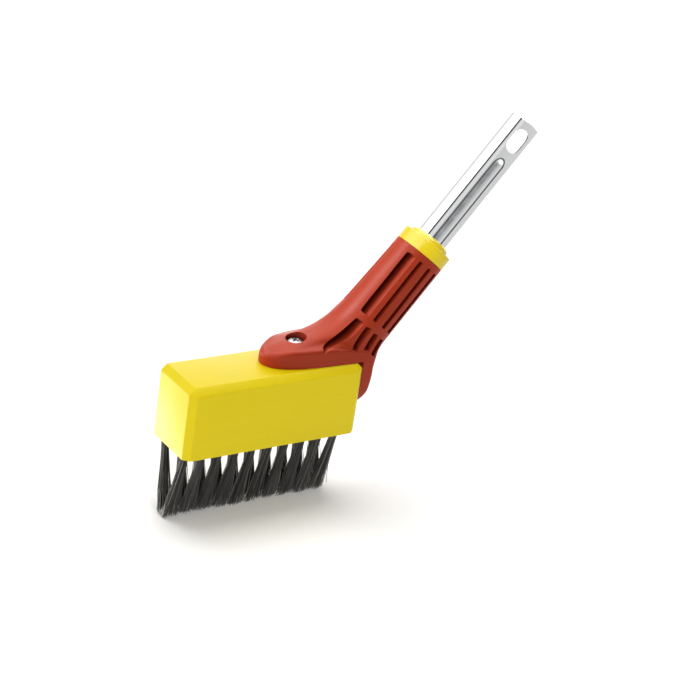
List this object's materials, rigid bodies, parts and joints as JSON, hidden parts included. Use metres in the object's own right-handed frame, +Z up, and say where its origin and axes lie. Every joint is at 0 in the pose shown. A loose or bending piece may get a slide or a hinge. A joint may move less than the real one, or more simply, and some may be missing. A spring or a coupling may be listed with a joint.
{
  "type": "scraper brush",
  "caption": "Long block brush with two rows of stiff bristles meeting in one working line, an angled moulded adapter on top, and a round steel stub that plugs into a handle.",
  "frame": {"origin": "middle of the bounding box's underside, on the plane that the bristles' tips touch", "axes": "+Z up from the bristles to the stub, +X along the block towards the handle, +Y across the block, away from the face with the visible row"},
  "size_m": [0.2534, 0.045, 0.2581],
  "materials": {
    "block_lacquer": "opaque yellow lacquer over wood, satin gloss, edges slightly rounded by the paint",
    "bristle": "dark tempered wire, slight sheen",
    "anchor": "bare stamped steel",
    "adapter_red": "moulded red plastic, satin",
    "collar_yellow": "moulded yellow plastic, semi-gloss",
    "stub_plating": "bright plating over drawn steel tube",
    "screw": "zinc plated"
  },
  "bodies": {
    "root": {"brush_block": "block_lacquer", "tuft_front_01": "bristle", "tuft_front_02": "bristle", "tuft_front_03": "bristle", "tuft_front_04": "bristle", "tuft_front_05": "bristle", "tuft_front_06": "bristle", "tuft_front_07": "bristle", "tuft_front_08": "bristle", "tuft_front_09": "bristle", "tuft_front_10": "bristle", "tuft_back_01": "bristle", "tuft_back_02": "bristle", "tuft_back_03": "bristle", "tuft_back_04": "bristle", "tuft_back_05": "bristle", "tuft_back_06": "bristle", "tuft_back_07": "bristle", "tuft_back_08": "bristle", "tuft_back_09": "bristle", "tuft_back_10": "bristle", "anchor_front_01": "anchor", "anchor_front_02": "anchor", "anchor_front_03": "anchor", "anchor_front_04": "anchor", "anchor_front_05": "anchor", "anchor_front_06": "anchor", "anchor_front_07": "anchor", "anchor_front_08": "anchor", "anchor_front_09": "anchor", "anchor_front_10": "anchor", "anchor_back_01": "anchor", "anchor_back_02": "anchor", "anchor_back_03": "anchor", "anchor_back_04": "anchor", "anchor_back_05": "anchor", "anchor_back_06": "anchor", "anchor_back_07": "anchor", "anchor_back_08": "anchor", "anchor_back_09": "anchor", "anchor_back_10": "anchor", "handle_adapter": "adapter_red", "collar": "collar_yellow", "spigot_tube": "stub_plating", "foot_screw": "screw", "heel_screw": "screw"}
  },
  "joints": []
}
